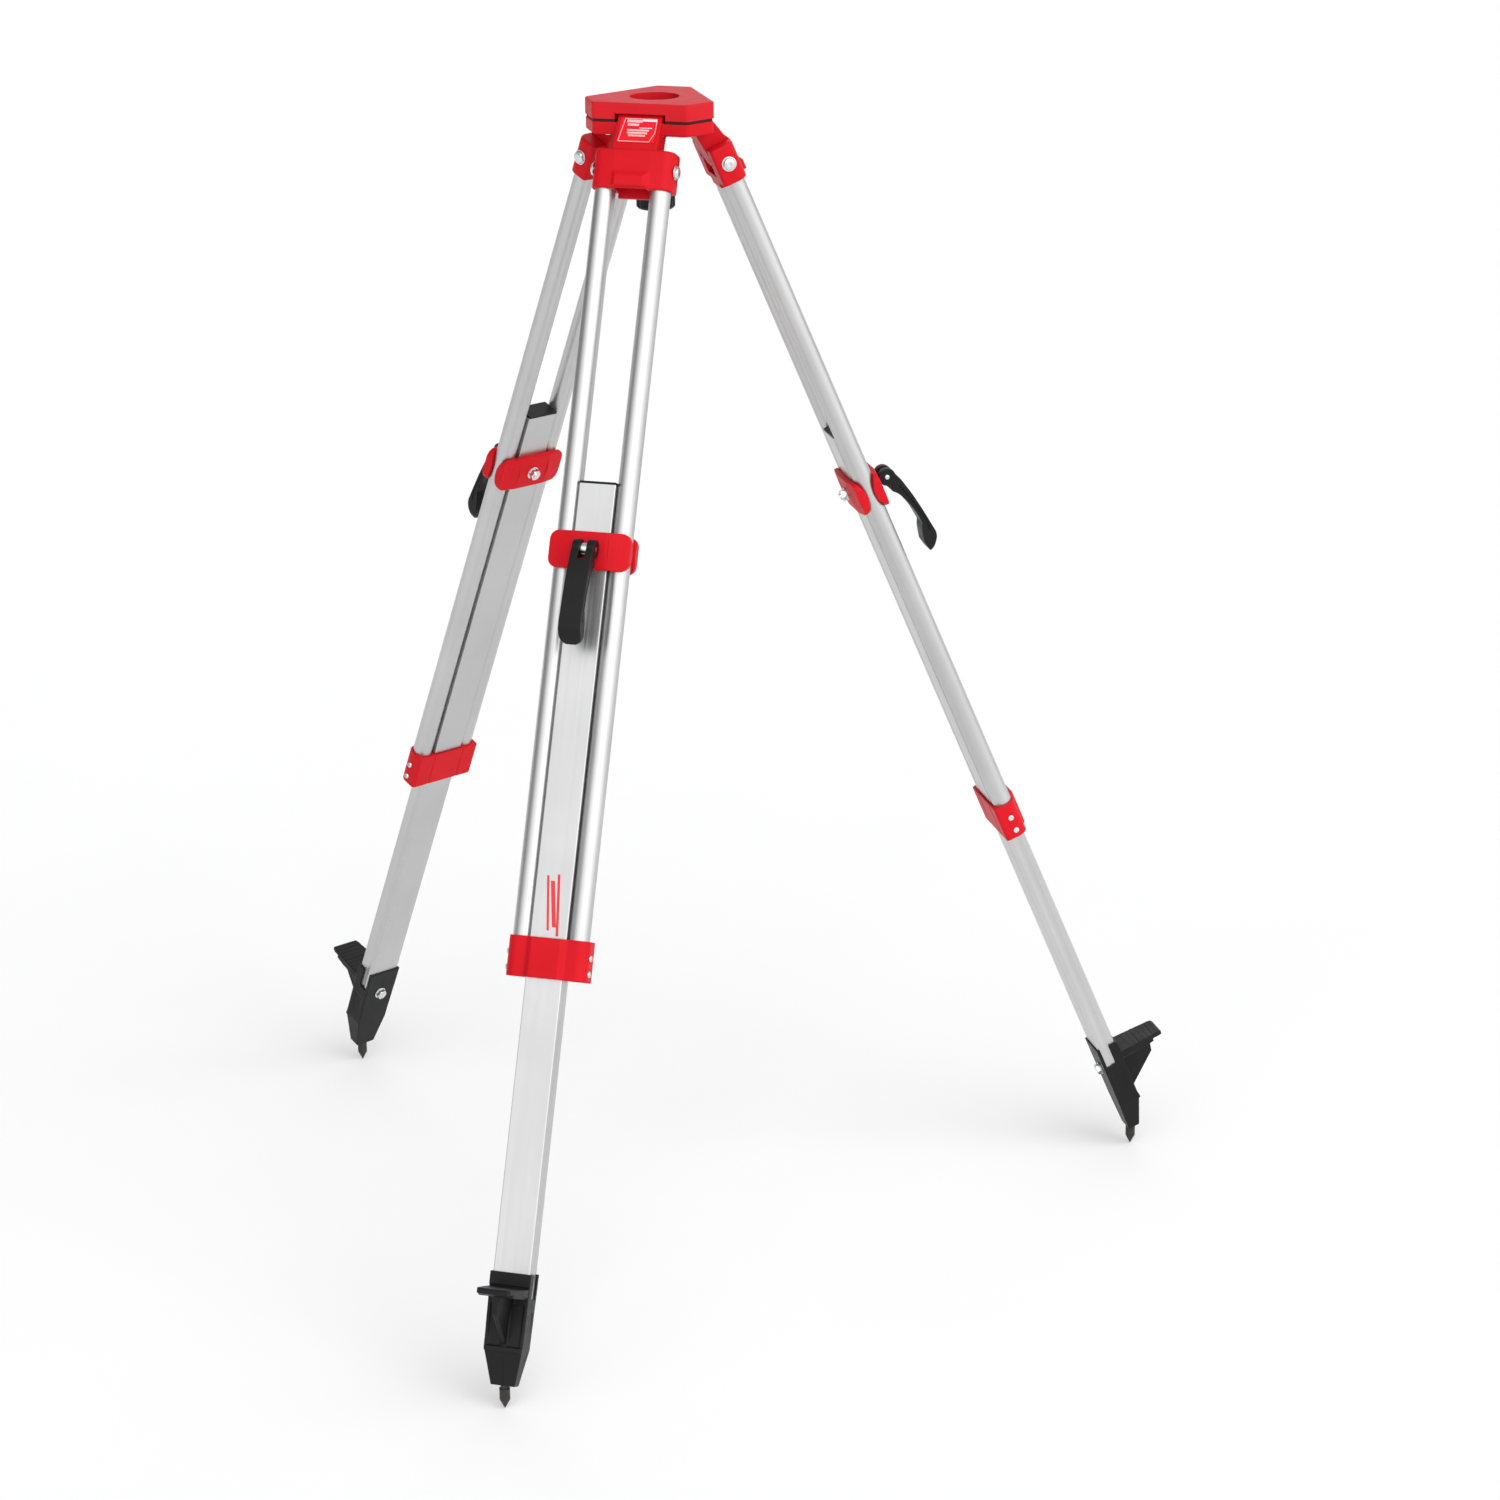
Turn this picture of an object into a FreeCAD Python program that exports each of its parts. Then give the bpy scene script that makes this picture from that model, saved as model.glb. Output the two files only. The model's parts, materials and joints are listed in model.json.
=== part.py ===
import FreeCAD, Part

import math
import os

import Sketcher

# Surveyor's tripod: a three-sided head with a sliding 5/8 inch fixing screw, and three
# telescoping legs that hinge at the middle of the head's sides.
#
# Frame: millimetres, +Z up, origin at the centre of the head's top face.  The front leg
# points along -Y.  Each leg is drawn standing upright in its own frame, with the hinge pin
# on the X axis, -Y outward and -Z down the leg, and is then splayed and turned into place.

doc = FreeCAD.newDocument("tripod")
sheet = doc.addObject("Spreadsheet::Sheet", "Dims")
bodies = []
cells = []


class Size:
    """A length or angle: its number, and the sheet formula that gives it."""

    def __init__(self, number, formula):
        self.number = number
        self.formula = formula

    def __add__(self, other):
        other = size(other)
        return Size(self.number + other.number, f"({self.formula} + {other.formula})")

    def __sub__(self, other):
        other = size(other)
        return Size(self.number - other.number, f"({self.formula} - {other.formula})")

    def __mul__(self, other):
        other = size(other)
        return Size(self.number * other.number, f"({self.formula} * {other.formula})")

    def __truediv__(self, other):
        other = size(other)
        return Size(self.number / other.number, f"({self.formula} / {other.formula})")

    def __neg__(self):
        return Size(-self.number, f"(0 - {self.formula})")


def size(value):
    """A plain number as a Size."""
    return value if isinstance(value, Size) else Size(float(value), f"({float(value)!r})")


def cosine(angle):
    return Size(math.cos(math.radians(angle.number)), f"cos({angle.formula} * 1 deg)")


def sine(angle):
    return Size(math.sin(math.radians(angle.number)), f"sin({angle.formula} * 1 deg)")


def dim(alias, number):
    """A driving dimension: one cell of the sheet, in millimetres or degrees."""
    cells.append(alias)
    row = len(cells)
    sheet.set(f"A{row}", alias)
    sheet.set(f"B{row}", str(number))
    sheet.setAlias(f"B{row}", alias)
    return Size(float(number), f"Dims.{alias}")


def mm(number):
    """A plain number of millimetres, for the small sizes that nothing else depends on."""
    return size(number)


# ---------------------------------------------------------------- drawing helpers

# each plane: its name in the body's origin, and the sign of its normal along the third axis
PLANES = {"XY": ("XY_Plane", 1), "XZ": ("XZ_Plane", -1), "YZ": ("YZ_Plane", 1)}


def new_body(label):
    body = doc.addObject("PartDesign::Body", label)
    body.Label = label
    body.AllowCompound = True
    bodies.append(body)
    return body


def polygon(*points):
    return ("polygon", [(size(a), size(b)) for a, b in points])


def circle(across, along, radius):
    return ("circle", (size(across), size(along), size(radius)))


def rectangle(left, low, right, high):
    return polygon((left, low), (right, low), (right, high), (left, high))


def pin_point(sketch, geometry, end, point):
    """Hold one point of the sketch at its two distances from the sketch's origin."""
    for kind, part in (("DistanceX", point[0]), ("DistanceY", point[1])):
        index = sketch.addConstraint(Sketcher.Constraint(kind, -1, 1, geometry, end, part.number))
        sketch.setExpression(f"Constraints[{index}]", part.formula)


def new_sketch(body, plane, offset, shapes):
    """A sketch on one of the body's own planes, each size bound to the sheet."""
    role, _ = PLANES[plane]
    sketch = body.newObject("Sketcher::SketchObject", f"{body.Label}_sketch")
    support = next(f for f in body.Origin.OriginFeatures if f.Role == role)
    sketch.AttachmentSupport = [(support, "")]
    sketch.MapMode = "FlatFace"
    sketch.setExpression("AttachmentOffset.Base.z", offset.formula)
    for kind, data in shapes:
        if kind == "circle":
            across, along, radius = data
            centre = FreeCAD.Vector(across.number, along.number, 0)
            normal = FreeCAD.Vector(0, 0, 1)
            index = sketch.addGeometry(Part.Circle(centre, normal, radius.number))
            pin_point(sketch, index, 3, (across, along))
            limit = sketch.addConstraint(Sketcher.Constraint("Radius", index, radius.number))
            sketch.setExpression(f"Constraints[{limit}]", radius.formula)
            continue
        ends = [FreeCAD.Vector(a.number, b.number, 0) for a, b in data]
        first = sketch.GeometryCount
        for start, end in zip(ends, ends[1:] + ends[:1]):
            sketch.addGeometry(Part.LineSegment(start, end))
        for step in range(len(data)):
            line = first + step
            following = first + (step + 1) % len(data)
            sketch.addConstraint(Sketcher.Constraint("Coincident", line, 2, following, 1))
            pin_point(sketch, line, 1, data[step])
    return sketch


def pad(body, plane, low, high, *shapes):
    """Material between two distances along the axis that crosses the plane."""
    low, high = size(low), size(high)
    offset = low if PLANES[plane][1] > 0 else -high
    sketch = new_sketch(body, plane, offset, shapes)
    feature = body.newObject("PartDesign::Pad", f"{body.Label}_pad")
    feature.Profile = sketch
    feature.setExpression("Length", (high - low).formula)
    body.Tip = feature
    return feature


def pocket(body, plane, low, high, *shapes):
    """A cut between two distances along the axis that crosses the plane."""
    low, high = size(low), size(high)
    offset = high if PLANES[plane][1] > 0 else -low
    sketch = new_sketch(body, plane, offset, shapes)
    feature = body.newObject("PartDesign::Pocket", f"{body.Label}_pocket")
    feature.Profile = sketch
    feature.setExpression("Length", (high - low).formula)
    body.Tip = feature
    return feature


def tilted_hole(body, out, height, angle, radius, depth):
    """A round hole sunk along an axis that leans in the YZ plane, from its upper end."""
    sketch = new_sketch(body, "XY", height, [circle(0, 0, radius)])
    axis = FreeCAD.Vector(1, 0, 0)
    middle = FreeCAD.Vector(0, out.number, height.number)
    sketch.AttachmentOffset = FreeCAD.Placement(middle, FreeCAD.Rotation(axis, angle.number))
    sketch.setExpression("AttachmentOffset.Base.y", out.formula)
    sketch.setExpression("AttachmentOffset.Rotation.Angle", angle.formula)
    feature = body.newObject("PartDesign::Pocket", f"{body.Label}_pocket")
    feature.Profile = sketch
    feature.setExpression("Length", size(depth).formula)
    body.Tip = feature
    return feature


def turned(body, *points):
    """A solid of revolution about Z from (radius, height) points."""
    sketch = new_sketch(body, "XZ", size(0), [polygon(*points)])
    feature = body.newObject("PartDesign::Revolution", f"{body.Label}_turned")
    feature.Profile = sketch
    feature.ReferenceAxis = (sketch, ["V_Axis"])
    feature.Angle = 360.0
    body.Tip = feature
    return feature


def three_times(body, *features):
    """Repeat features at each of the head's three sides."""
    axis = next(f for f in body.Origin.OriginFeatures if f.Role == "Z_Axis")
    pattern = body.newObject("PartDesign::PolarPattern", f"{body.Label}_pattern")
    pattern.Originals = list(features)
    pattern.Axis = (axis, [""])
    pattern.Angle = 360.0
    pattern.Occurrences = 3
    body.Tip = pattern
    return pattern


def dress(body, kind, amount, wanted):
    """Round (Fillet) or bevel (Chamfer) the edges that the test picks."""
    doc.recompute()
    base = body.Tip
    names = [f"Edge{i}" for i, edge in enumerate(base.Shape.Edges, 1) if wanted(edge)]
    if not names:
        raise RuntimeError(f"{body.Label}: no edge to {kind}")
    feature = body.newObject(f"PartDesign::{kind}", f"{body.Label}_{kind.lower()}")
    feature.Base = (base, names)
    feature.setExpression("Radius" if kind == "Fillet" else "Size", size(amount).formula)
    body.Tip = feature
    return feature


def runs_along(axis):
    """A test for straight edges that run along X, Y or Z."""
    keep = "XYZ".index(axis)

    def test(edge):
        if not isinstance(edge.Curve, Part.Line):
            return False
        return abs(edge.Curve.Direction[keep]) > 0.999

    return test


def lies_at(axis, level):
    """A test for edges that lie wholly at one level of X, Y or Z."""

    def test(edge):
        box = edge.BoundBox
        ends = (getattr(box, f"{axis}Min"), getattr(box, f"{axis}Max"))
        return max(abs(end - level) for end in ends) < 1e-3

    return test


def hexagon(across, along, flats):
    """A nut's outline, by its width across flats."""
    reach = size(flats) / math.sqrt(3.0)
    points = []
    for step in range(6):
        turn = math.radians(60 * step)
        points.append((size(across) + reach * math.cos(turn), size(along) + reach * math.sin(turn)))
    return polygon(*points)


# ---------------------------------------------------------------- driving dimensions

head_inradius = dim("head_inradius", 59.5)
head_corner_reach = dim("head_corner_reach", 81)
head_edge_round = dim("head_edge_round", 6)
cover_height = dim("cover_height", 20)
gasket_height = dim("gasket_height", 3.5)
plate_height = dim("plate_height", 15)
centre_hole_radius = dim("centre_hole_radius", 30)
notch_half = dim("notch_half", 31.5)
notch_height = dim("notch_height", 7)
notch_back = dim("notch_back", 45.5)

pivot_radius = dim("pivot_radius", 79.3)
pivot_depth = dim("pivot_depth", 77)
splay = dim("splay", 23.08)
tongue_half = dim("tongue_half", 27.5)
boss_half = dim("boss_half", 19)
boss_radius = dim("boss_radius", 14.4)
relief_radius = dim("relief_radius", 16.5)
hinge_bolt_radius = dim("hinge_bolt_radius", 5)
running_gap = dim("running_gap", 0.05)

screw_radius = dim("screw_radius", 7.94)
neck_radius = dim("neck_radius", 6)
screw_tip_depth = dim("screw_tip_depth", 15)
thread_end_depth = dim("thread_end_depth", 36)
knob_radius = dim("knob_radius", 23.5)
knob_bottom = dim("knob_bottom", 135)
knob_top = dim("knob_top", 84.5)
arm_pivot_reach = dim("arm_pivot_reach", 62)
arm_thickness = dim("arm_thickness", 5.5)
arm_half = dim("arm_half", 16)
arm_gap = dim("arm_gap", 4.2)
arm_bolt_radius = dim("arm_bolt_radius", 4)
arm_slot_half = dim("arm_slot_half", 8.6)

tube_radius = dim("tube_radius", 12.5)
tube_wall = dim("tube_wall", 1.5)
tube_offset = dim("tube_offset", 34.35)
tube_top = dim("tube_top", 10)
tube_bottom = dim("tube_bottom", 957)
shoulder_half = dim("shoulder_half", 50)
shoulder_front = dim("shoulder_front", 14.5)
shoulder_middle = dim("shoulder_middle", 17.3)
shoulder_back = dim("shoulder_back", 16)
cheek_radius = dim("cheek_radius", 15.5)
shoulder_top = dim("shoulder_top", 23)
shoulder_bottom = dim("shoulder_bottom", 24.6)
slot_half = dim("slot_half", 20.2)
front_wall_inside = dim("front_wall_inside", 14.9)
block_front = dim("block_front", 22.5)
socket_gap = dim("socket_gap", 0.05)
casting_round = dim("casting_round", 14)

extension_half = dim("extension_half", 22.5)
extension_thick_half = dim("extension_thick_half", 12.5)
extension_top = dim("extension_top", 377)
extension_bottom = dim("extension_bottom", 1348)
groove_radius = dim("groove_radius", 12.9)
slide_gap = dim("slide_gap", 0.4)

clamp_level = dim("clamp_level", 457)
clamp_half = dim("clamp_half", 50)
clamp_tall_half = dim("clamp_tall_half", 22.3)
clamp_face = dim("clamp_face", 21)
clamp_end_face = dim("clamp_end_face", 17)
clamp_outer_back = dim("clamp_outer_back", 4.5)
clamp_inner_back = dim("clamp_inner_back", 5.5)
clamp_bolt_radius = dim("clamp_bolt_radius", 4)
lever_pin_radius = dim("lever_pin_radius", 3)
lever_pin_reach = dim("lever_pin_reach", 32.3)
lever_half = dim("lever_half", 13.5)

collar_top = dim("collar_top", 912.5)
collar_bottom = dim("collar_bottom", 960.5)
collar_block_front = dim("collar_block_front", 19.8)
collar_block_top = dim("collar_block_top", 914)
collar_block_bottom = dim("collar_block_bottom", 951)
collar_screw_high = dim("collar_screw_high", 932)
collar_screw_low = dim("collar_screw_low", 950.5)

foot_top = dim("foot_top", 1302)
foot_crease = dim("foot_crease", 1390)
foot_bottom = dim("foot_bottom", 1433)
foot_half = dim("foot_half", 25.2)
foot_thick_half = dim("foot_thick_half", 14.6)
foot_bolt_level = dim("foot_bolt_level", 1339)
foot_window_bottom = dim("foot_window_bottom", 1331)
toe_half = dim("toe_half", 14.7)
toe_front = dim("toe_front", 1)
spike_radius = dim("spike_radius", 6.3)
spike_length = dim("spike_length", 48.2)
spike_tip_depth = dim("spike_tip_depth", 1459.9)
spike_tip_inset = dim("spike_tip_inset", 18.65)

plate_top = cover_height + gasket_height
plate_bottom = plate_top + plate_height

LEGS = {"front": -90, "right": 30, "left": 150}


# ---------------------------------------------------------------- head

def head_outline(inset):
    """A triangle with its corners cut square, drawn in from the edge by the inset."""
    inradius = head_inradius - inset
    half_side = inradius * math.sqrt(3.0)
    half_side = half_side - (inradius * 2 - head_corner_reach + inset) / math.cos(math.radians(30))
    points = []
    for azimuth in (-90, 30, 150):
        turn = math.radians(azimuth)
        out = (math.cos(turn), math.sin(turn))
        across = (-math.sin(turn), math.cos(turn))
        for side in (-1, 1):
            points.append(
                (
                    inradius * out[0] + half_side * (side * across[0]),
                    inradius * out[1] + half_side * (side * across[1]),
                )
            )
    return polygon(*points)


def notch_cut():
    return rectangle(-notch_half, -head_corner_reach, notch_half, -notch_back)


def screw_places(radius):
    """The two head screws beside each tongue."""
    return [circle(side * 46.0, -40.5, radius) for side in (-1, 1)]


def make_head_cover():
    body = new_body("head_cover")
    pad(body, "XY", -cover_height, 0, head_outline(mm(0)))
    dress(body, "Fillet", head_edge_round, runs_along("Z"))
    dress(body, "Fillet", mm(2.2), lies_at("Z", 0.0))
    pocket(body, "XY", -cover_height, 0, circle(0, 0, centre_hole_radius))
    notch = pocket(body, "XY", -cover_height, notch_height - cover_height, notch_cut())
    holes = pocket(body, "XY", -cover_height, -mm(8), *screw_places(mm(2.2)))
    three_times(body, notch, holes)


def make_head_gasket():
    body = new_body("head_gasket")
    pad(body, "XY", -plate_top, -cover_height, head_outline(mm(1.6)))
    dress(body, "Fillet", head_edge_round, runs_along("Z"))
    pocket(body, "XY", -plate_top, -cover_height, circle(0, 0, centre_hole_radius + 1))
    notch = pocket(body, "XY", -plate_top, -cover_height, notch_cut())
    holes = pocket(body, "XY", -plate_top, -cover_height, *screw_places(mm(2.7)))
    three_times(body, notch, holes)


def tongue_slope():
    """The upper and lower ends of a tongue's sloping face, as (reach, height)."""
    top = (pivot_radius - 25.6, notch_height - cover_height - 1)
    bend = (pivot_radius + 1.5, -pivot_depth + 28.9)
    return top, bend


def tongue_outline():
    """Side view of a tongue, as (reach from the head's axis, height)."""
    outer_turn = mm(31.5)
    inner_turn = mm(208.2)
    ends = []
    for turn in (outer_turn, inner_turn):
        reach = pivot_radius + boss_radius * cosine(turn)
        ends.append((reach, -pivot_depth + boss_radius * sine(turn)))
    slope_top, bend = tongue_slope()
    root = notch_back + 0.5
    points = [(root, slope_top[1]), slope_top, bend, *ends]
    points += [(mm(40), -plate_bottom), (root, -plate_top)]
    return polygon(*[(-reach, height) for reach, height in points])


def make_head_plate():
    body = new_body("head_plate")
    pad(body, "XY", -plate_bottom, -plate_top, head_outline(mm(0.6)))
    dress(body, "Fillet", head_edge_round, runs_along("Z"))
    dress(body, "Fillet", mm(2), lies_at("Z", -plate_bottom.number))
    pivot = (-pivot_radius, -pivot_depth)
    tongue = pad(body, "YZ", -tongue_half, tongue_half, tongue_outline())
    left = pocket(body, "YZ", -tongue_half, -boss_half, circle(*pivot, relief_radius))
    right = pocket(body, "YZ", boss_half, tongue_half, circle(*pivot, relief_radius))
    boss = pad(body, "YZ", -boss_half, boss_half, circle(*pivot, boss_radius))
    bore = pocket(body, "YZ", -boss_half, boss_half, circle(*pivot, hinge_bolt_radius + 2))
    holes = pocket(body, "XY", -plate_bottom, -plate_top, *screw_places(mm(2.7)))
    three_times(body, tongue, left, right, boss, bore, holes)
    pocket(body, "XY", -plate_bottom, -plate_top, circle(0, 0, centre_hole_radius))
    pocket(body, "XY", -plate_bottom, -plate_top - 4, circle(0, arm_pivot_reach, arm_bolt_radius + 0.05))


def make_head_screws():
    body = new_body("head_screws")
    pad(body, "XY", -plate_bottom - 3.5, -plate_bottom, *screw_places(mm(4.5)))
    pad(body, "XY", -plate_bottom, -mm(9), *screw_places(mm(2.15)))
    doc.recompute()
    features = [f for f in body.Group if f.TypeId == "PartDesign::Pad"]
    three_times(body, *features)


def make_hinge_bushes():
    body = new_body("hinge_bushes")
    pivot = (-pivot_radius, -pivot_depth)
    bore = hinge_bolt_radius + running_gap
    features = []
    for side in (-1, 1):
        for inner, outer, radius in ((boss_half - 9, boss_half, 6.98), (boss_half, boss_half + 0.9, 9)):
            low, high = sorted((inner * side, outer * side), key=lambda length: length.number)
            features.append(pad(body, "YZ", low, high, circle(*pivot, radius), circle(*pivot, bore)))
    three_times(body, *features)


def make_label_plate():
    """A blank plate on the front tongue's sloping face."""
    body = new_body("label_plate")
    start, bend = tongue_slope()
    out = (bend[0] - start[0]).number
    down = (start[1] - bend[1]).number
    length = math.hypot(out, down)

    def place(along, proud):
        """A point some way down the slope and a little out from it."""
        reach = start[0] + (out * along + down * proud) / length
        return (-reach, start[1] + (out * proud - down * along) / length)

    upper, lower, thickness = 5, 37.5, 0.6
    outline = polygon(place(upper, 0), place(lower, 0), place(lower, thickness), place(upper, thickness))
    pad(body, "YZ", -mm(23), mm(23), outline)


# ---------------------------------------------------------------- fixing screw and its arm

def make_arm_pivot():
    """The shoulder screw that the arm swings on, with a collar above and a head below."""
    body = new_body("arm_pivot")
    arm_top = -plate_bottom - arm_gap
    arm_bottom = arm_top - arm_thickness
    flange = mm(7)
    turned(
        body,
        (0, arm_bottom - 3.5),
        (flange, arm_bottom - 3.5),
        (flange, arm_bottom - 0.3),
        (arm_bolt_radius, arm_bottom - 0.3),
        (arm_bolt_radius, arm_top + 0.3),
        (flange, arm_top + 0.3),
        (flange, -plate_bottom),
        (arm_bolt_radius, -plate_bottom),
        (arm_bolt_radius, -plate_top - 5),
        (0, -plate_top - 5),
    )
    body.setExpression("Placement.Base.y", arm_pivot_reach.formula)


def make_fixing_arm():
    body = new_body("fixing_arm")
    top = -plate_bottom - arm_gap
    bottom = top - arm_thickness
    pad(body, "XY", bottom, top, rectangle(-arm_half, -mm(29), arm_half, arm_pivot_reach + 12))
    dress(body, "Fillet", mm(11.5), runs_along("Z"))
    half, travel = arm_slot_half, mm(13)
    pocket(body, "XY", bottom, top, rectangle(-half, -travel, half, travel))
    for end in (-travel, travel):
        pocket(body, "XY", bottom, top, circle(0, end, half - 0.001))
    pocket(body, "XY", bottom, top, circle(0, arm_pivot_reach, arm_bolt_radius + 0.05))


def make_slider_bush():
    """The flanged bush that carries the screw along the arm's slot."""
    body = new_body("slider_bush")
    top = -plate_bottom - arm_gap
    bottom = top - arm_thickness
    bore = neck_radius + running_gap
    turned(
        body,
        (bore, bottom - 2.5),
        (13, bottom - 2.5),
        (13, bottom - 0.3),
        (arm_slot_half - 0.2, bottom - 0.3),
        (arm_slot_half - 0.2, top + 0.2),
        (12, top + 0.2),
        (12, top + 3.2),
        (bore, top + 3.2),
    )


def make_thrust_washer():
    body = new_body("thrust_washer")
    pad(
        body,
        "XY",
        -knob_top,
        -knob_top + 2,
        circle(0, 0, 10.5),
        circle(0, 0, neck_radius + running_gap),
    )


def make_fixing_screw():
    body = new_body("fixing_screw")
    turned(
        body,
        (0, -knob_top - 18),
        (neck_radius, -knob_top - 18),
        (neck_radius, -thread_end_depth - 1),
        (screw_radius, -thread_end_depth),
        (screw_radius, -screw_tip_depth - 1.6),
        (screw_radius - 1.6, -screw_tip_depth),
        (0, -screw_tip_depth),
    )


def make_fixing_knob():
    body = new_body("fixing_knob")
    bore = neck_radius + 0.05
    turned(
        body,
        (0, -knob_bottom),
        (knob_radius - 3, -knob_bottom),
        (knob_radius, -knob_bottom + 3),
        (knob_radius, -knob_bottom + 30),
        (knob_radius - 4, -knob_bottom + 34),
        (12, -knob_bottom + 38),
        (11, -knob_top - 0.3),
        (bore, -knob_top - 0.3),
        (bore, -knob_top - 18.2),
        (0, -knob_top - 18.2),
    )
    flutes = []
    for step in range(8):
        turn = math.radians(45 * step)
        flutes.append(
            circle((knob_radius + 4.5) * math.cos(turn), (knob_radius + 4.5) * math.sin(turn), 6.5)
        )
    pocket(body, "XY", -knob_bottom, -knob_bottom + 34, *flutes)


# ---------------------------------------------------------------- leg pieces

def splayed(body, azimuth):
    """Stand a leg piece at its hinge: splayed outward, then turned to its side of the head."""
    turn = math.radians(azimuth)
    body.setExpression("Placement.Base.x", (pivot_radius * math.cos(turn)).formula)
    body.setExpression("Placement.Base.y", (pivot_radius * math.sin(turn)).formula)
    body.setExpression("Placement.Base.z", (-pivot_depth).formula)
    lean = FreeCAD.Rotation(FreeCAD.Vector(1, 0, 0), -splay.number)
    side = FreeCAD.Rotation(FreeCAD.Vector(0, 0, 1), azimuth + 90)
    body.Placement.Rotation = side * lean


def both_tubes(radius):
    return [circle(side * tube_offset, 0, radius) for side in (mm(-1), mm(1))]


def faces_outward(edge):
    """A test for a casting's upright edges on its outer side."""
    return runs_along("Z")(edge) and edge.BoundBox.YMax < 0


def faces_inward(edge):
    return runs_along("Z")(edge) and edge.BoundBox.YMin > 0


def round_casting(body):
    """Large rounds on the upright outer edges, small ones on the inner."""
    dress(body, "Fillet", casting_round, faces_outward)
    dress(body, "Fillet", mm(4), faces_inward)


def raised_block(body, top, bottom, wall, front):
    """The block on the casting's outer wall, with a sloping top and sides."""
    root = -shoulder_front + 1
    foot, face = mm(25.5), mm(18)
    pad(body, "XY", bottom, top, polygon((-foot, root), (-face, -front), (face, -front), (foot, root)))
    shave = polygon((-wall, top), (-front, top), (-front, top - 6))
    pocket(body, "YZ", -foot, foot, shave)


def make_shoulder(name):
    """The cast yoke: two tube sockets with a front wall, open behind for the tongue."""
    body = new_body(f"shoulder_{name}")
    half = shoulder_half
    middle = mm(22)
    outline = polygon(
        (-half, shoulder_back),
        (-half, -shoulder_front),
        (-middle, -shoulder_middle),
        (middle, -shoulder_middle),
        (half, -shoulder_front),
        (half, shoulder_back),
    )
    pad(body, "XY", -shoulder_bottom, shoulder_top, outline)
    dress(body, "Fillet", casting_round, lambda edge: faces_outward(edge) and abs(edge.BoundBox.XMin) > 45)
    dress(body, "Fillet", mm(4), faces_inward)
    dress(body, "Fillet", mm(3), lies_at("Z", shoulder_top.number))
    dress(body, "Fillet", mm(1.5), lies_at("Z", -shoulder_bottom.number))
    raised_block(body, -mm(4), -shoulder_bottom + 2.6, shoulder_middle, block_front)
    beyond = shoulder_back + 2
    slot = slot_half
    boss_room = -boss_radius - 1
    pocket(body, "XY", boss_room, shoulder_top, rectangle(-slot, -front_wall_inside, slot, beyond))
    pocket(body, "XY", -shoulder_bottom, boss_room, rectangle(-slot, -front_wall_inside, slot, 10))
    wide = tongue_half + 0.7
    opening = rectangle(-front_wall_inside, 0, beyond, shoulder_top)
    for low, high in ((-wide, -slot), (slot, wide)):
        pocket(body, "YZ", low, high, opening)
        pad(body, "YZ", low, high, circle(0, 0, cheek_radius))
    pad(body, "XY", -mm(31), -mm(19.4), rectangle(-slot - 1, 10, slot + 1, shoulder_back))
    pocket(body, "XY", -shoulder_bottom - 1, tube_top, *both_tubes(tube_radius + socket_gap))
    pocket(body, "YZ", -half, half, circle(0, 0, hinge_bolt_radius + 0.2))


def make_tubes(name):
    body = new_body(f"tubes_{name}")
    rims = both_tubes(tube_radius) + both_tubes(tube_radius - tube_wall)
    pad(body, "XY", -tube_bottom, tube_top - 0.1, *rims)
    pocket(body, "YZ", -shoulder_half, shoulder_half, circle(0, 0, hinge_bolt_radius + 0.2))
    outer_wall = (tube_offset, tube_offset + tube_radius)
    pocket(body, "YZ", *outer_wall, *collar_screw_places(mm(2.1)))
    pocket(body, "YZ", -outer_wall[1], -outer_wall[0], *collar_screw_places(mm(2.1)))


def make_hinge_fasteners(name):
    """The hinge bolt with its head, washers and lock nut."""
    body = new_body(f"hinge_fasteners_{name}")
    half = shoulder_half
    pad(body, "YZ", -half - 1, half + 1, circle(0, 0, hinge_bolt_radius))
    pad(body, "YZ", -half - 4.4, -half - 1, circle(0, 0, 7.6))
    dress(body, "Fillet", mm(2), lies_at("X", -(half.number + 4.4)))
    washer = [circle(0, 0, 9), circle(0, 0, hinge_bolt_radius + 0.1)]
    pad(body, "YZ", half, half + 1, *washer)
    pad(body, "YZ", -half - 0.95, -half, *washer)
    pad(body, "YZ", half + 1, half + 4.6, hexagon(0, 0, 14))


def collar_screw_places(radius):
    """The two screws on each side of the collar, which pin it to the tube."""
    return [circle(0, -level, radius) for level in (collar_screw_high, collar_screw_low)]


def make_collar(name):
    """The closed band at the foot of the tubes, through which the extension slides."""
    body = new_body(f"collar_{name}")
    half = shoulder_half
    pad(body, "XY", -collar_bottom, -collar_top, rectangle(-half, -shoulder_front, half, shoulder_back))
    round_casting(body)
    raised_block(body, -collar_block_top, -collar_block_bottom, shoulder_front, collar_block_front)
    pocket(body, "XY", -tube_bottom, -collar_top, *both_tubes(tube_radius + socket_gap))
    across = extension_half + slide_gap
    through = extension_thick_half + slide_gap
    pocket(body, "XY", -collar_bottom, -collar_top, rectangle(-across, -through, across, through))
    pocket(body, "YZ", -half, half, *collar_screw_places(mm(2.1)))


def make_collar_screws(name):
    body = new_body(f"collar_screws_{name}")
    half = shoulder_half
    head = half + 2.2
    pad(body, "YZ", mm(43), half, *collar_screw_places(mm(2)))
    pad(body, "YZ", half, head, *collar_screw_places(mm(3.9)))
    pad(body, "YZ", -half, -mm(43), *collar_screw_places(mm(2)))
    pad(body, "YZ", -head, -half, *collar_screw_places(mm(3.9)))


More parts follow.
